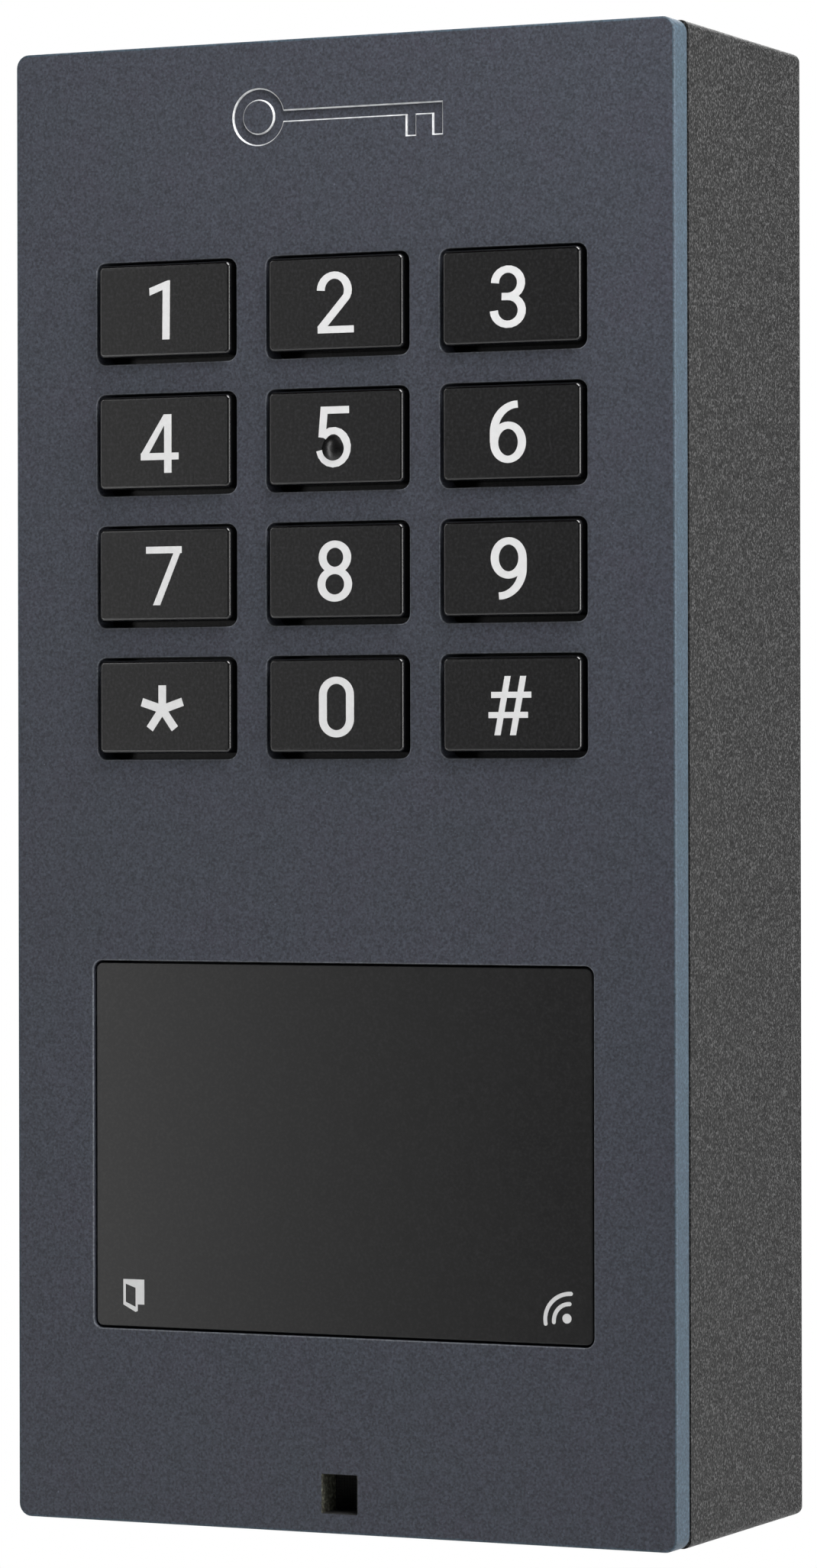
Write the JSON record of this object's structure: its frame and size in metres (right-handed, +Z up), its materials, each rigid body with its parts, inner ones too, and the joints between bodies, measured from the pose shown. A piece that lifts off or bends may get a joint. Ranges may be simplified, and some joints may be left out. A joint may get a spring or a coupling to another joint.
{
  "type": "rfid card reader",
  "caption": "Wall-mounted access keypad with push keys above a flat card-reading window, thick metal front plate and deep moulded housing with a cable entry in the back.",
  "frame": {"origin": "centre of the housing's flat rear face, on the wall surface", "axes": "+Z up, +Y into the wall, the front plate and keys face -Y"},
  "size_m": [0.075, 0.0366, 0.154],
  "materials": {
    "powder_coat": "fine speckled powder coat",
    "gasket_rubber": "matte",
    "zinc_steel": "satin zinc",
    "stainless_steel": "satin",
    "housing_plastic": "spark-eroded grain",
    "wall_plate_plastic": "moulded, satin",
    "seal_rubber": "matte",
    "inner_plastic": "satin",
    "silicone": "silicone",
    "circuit_board": "solder mask",
    "window_plastic": "tinted satin panel",
    "lamp_resin": "clear resin",
    "copper": "bare copper",
    "ferrite": "matte",
    "mesh": "fine acoustic mesh",
    "black_plastic": "moulded epoxy",
    "brass": "turned",
    "terminal_plastic": "satin",
    "relay_plastic": "satin",
    "capacitor_can": "sleeved can",
    "key_plastic": "satin black"
  },
  "bodies": {
    "reader": {"front_plate": "powder_coat", "plate_gasket": "gasket_rubber", "plate_hooks": "zinc_steel", "fixing_blocks": "zinc_steel", "security_screws": "stainless_steel", "housing": "housing_plastic", "wall_plate": "wall_plate_plastic", "wall_seal": "seal_rubber", "cable_grommet": "seal_rubber", "key_dome_1": "silicone", "key_dome_2": "silicone", "key_dome_3": "silicone", "key_dome_4": "silicone", "key_dome_5": "silicone", "key_dome_6": "silicone", "key_dome_7": "silicone", "key_dome_8": "silicone", "key_dome_9": "silicone", "key_dome_star": "silicone", "key_dome_0": "silicone", "key_dome_hash": "silicone", "key_carrier": "inner_plastic", "keypad_mat": "silicone", "keypad_board": "circuit_board", "plate_screws": "stainless_steel", "reader_window": "window_plastic", "window_seal": "gasket_rubber", "window_retainer": "inner_plastic", "icon_lamps": "lamp_resin", "antenna_board": "circuit_board", "antenna_coil": "copper", "ferrite_sheet": "ferrite", "sound_membrane": "mesh", "sound_duct": "seal_rubber", "sounder": "black_plastic", "main_board": "circuit_board", "board_posts": "brass", "board_screws": "stainless_steel", "keypad_link": "black_plastic", "antenna_link": "black_plastic", "processor": "black_plastic", "network_transformer": "black_plastic", "network_jack": "zinc_steel", "terminal_block": "terminal_plastic", "door_relay": "relay_plastic", "capacitors": "capacitor_can", "tamper_sensor": "black_plastic"},
    "button_1": {"key_1": "key_plastic"},
    "button_2": {"key_2": "key_plastic"},
    "button_3": {"key_3": "key_plastic"},
    "button_4": {"key_4": "key_plastic"},
    "button_5": {"key_5": "key_plastic"},
    "button_6": {"key_6": "key_plastic"},
    "button_7": {"key_7": "key_plastic"},
    "button_8": {"key_8": "key_plastic"},
    "button_9": {"key_9": "key_plastic"},
    "button_star": {"key_star": "key_plastic"},
    "button_0": {"key_0": "key_plastic"},
    "button_hash": {"key_hash": "key_plastic"}
  },
  "joints": [
    {"name": "press_1", "type": "slide", "parent": "reader", "child": "button_1", "axis": [0, 1, 0], "range_m": [0, 0.0008], "stiffness_N_per_m": 600, "springref_m": -0.0006, "deforming": ["key_dome_1"]},
    {"name": "press_2", "type": "slide", "parent": "reader", "child": "button_2", "axis": [0, 1, 0], "range_m": [0, 0.0008], "stiffness_N_per_m": 600, "springref_m": -0.0006, "deforming": ["key_dome_2"]},
    {"name": "press_3", "type": "slide", "parent": "reader", "child": "button_3", "axis": [0, 1, 0], "range_m": [0, 0.0008], "stiffness_N_per_m": 600, "springref_m": -0.0006, "deforming": ["key_dome_3"]},
    {"name": "press_4", "type": "slide", "parent": "reader", "child": "button_4", "axis": [0, 1, 0], "range_m": [0, 0.0008], "stiffness_N_per_m": 600, "springref_m": -0.0006, "deforming": ["key_dome_4"]},
    {"name": "press_5", "type": "slide", "parent": "reader", "child": "button_5", "axis": [0, 1, 0], "range_m": [0, 0.0008], "stiffness_N_per_m": 600, "springref_m": -0.0006, "deforming": ["key_dome_5"]},
    {"name": "press_6", "type": "slide", "parent": "reader", "child": "button_6", "axis": [0, 1, 0], "range_m": [0, 0.0008], "stiffness_N_per_m": 600, "springref_m": -0.0006, "deforming": ["key_dome_6"]},
    {"name": "press_7", "type": "slide", "parent": "reader", "child": "button_7", "axis": [0, 1, 0], "range_m": [0, 0.0008], "stiffness_N_per_m": 600, "springref_m": -0.0006, "deforming": ["key_dome_7"]},
    {"name": "press_8", "type": "slide", "parent": "reader", "child": "button_8", "axis": [0, 1, 0], "range_m": [0, 0.0008], "stiffness_N_per_m": 600, "springref_m": -0.0006, "deforming": ["key_dome_8"]},
    {"name": "press_9", "type": "slide", "parent": "reader", "child": "button_9", "axis": [0, 1, 0], "range_m": [0, 0.0008], "stiffness_N_per_m": 600, "springref_m": -0.0006, "deforming": ["key_dome_9"]},
    {"name": "press_star", "type": "slide", "parent": "reader", "child": "button_star", "axis": [0, 1, 0], "range_m": [0, 0.0008], "stiffness_N_per_m": 600, "springref_m": -0.0006, "deforming": ["key_dome_star"]},
    {"name": "press_0", "type": "slide", "parent": "reader", "child": "button_0", "axis": [0, 1, 0], "range_m": [0, 0.0008], "stiffness_N_per_m": 600, "springref_m": -0.0006, "deforming": ["key_dome_0"]},
    {"name": "press_hash", "type": "slide", "parent": "reader", "child": "button_hash", "axis": [0, 1, 0], "range_m": [0, 0.0008], "stiffness_N_per_m": 600, "springref_m": -0.0006, "deforming": ["key_dome_hash"]}
  ]
}
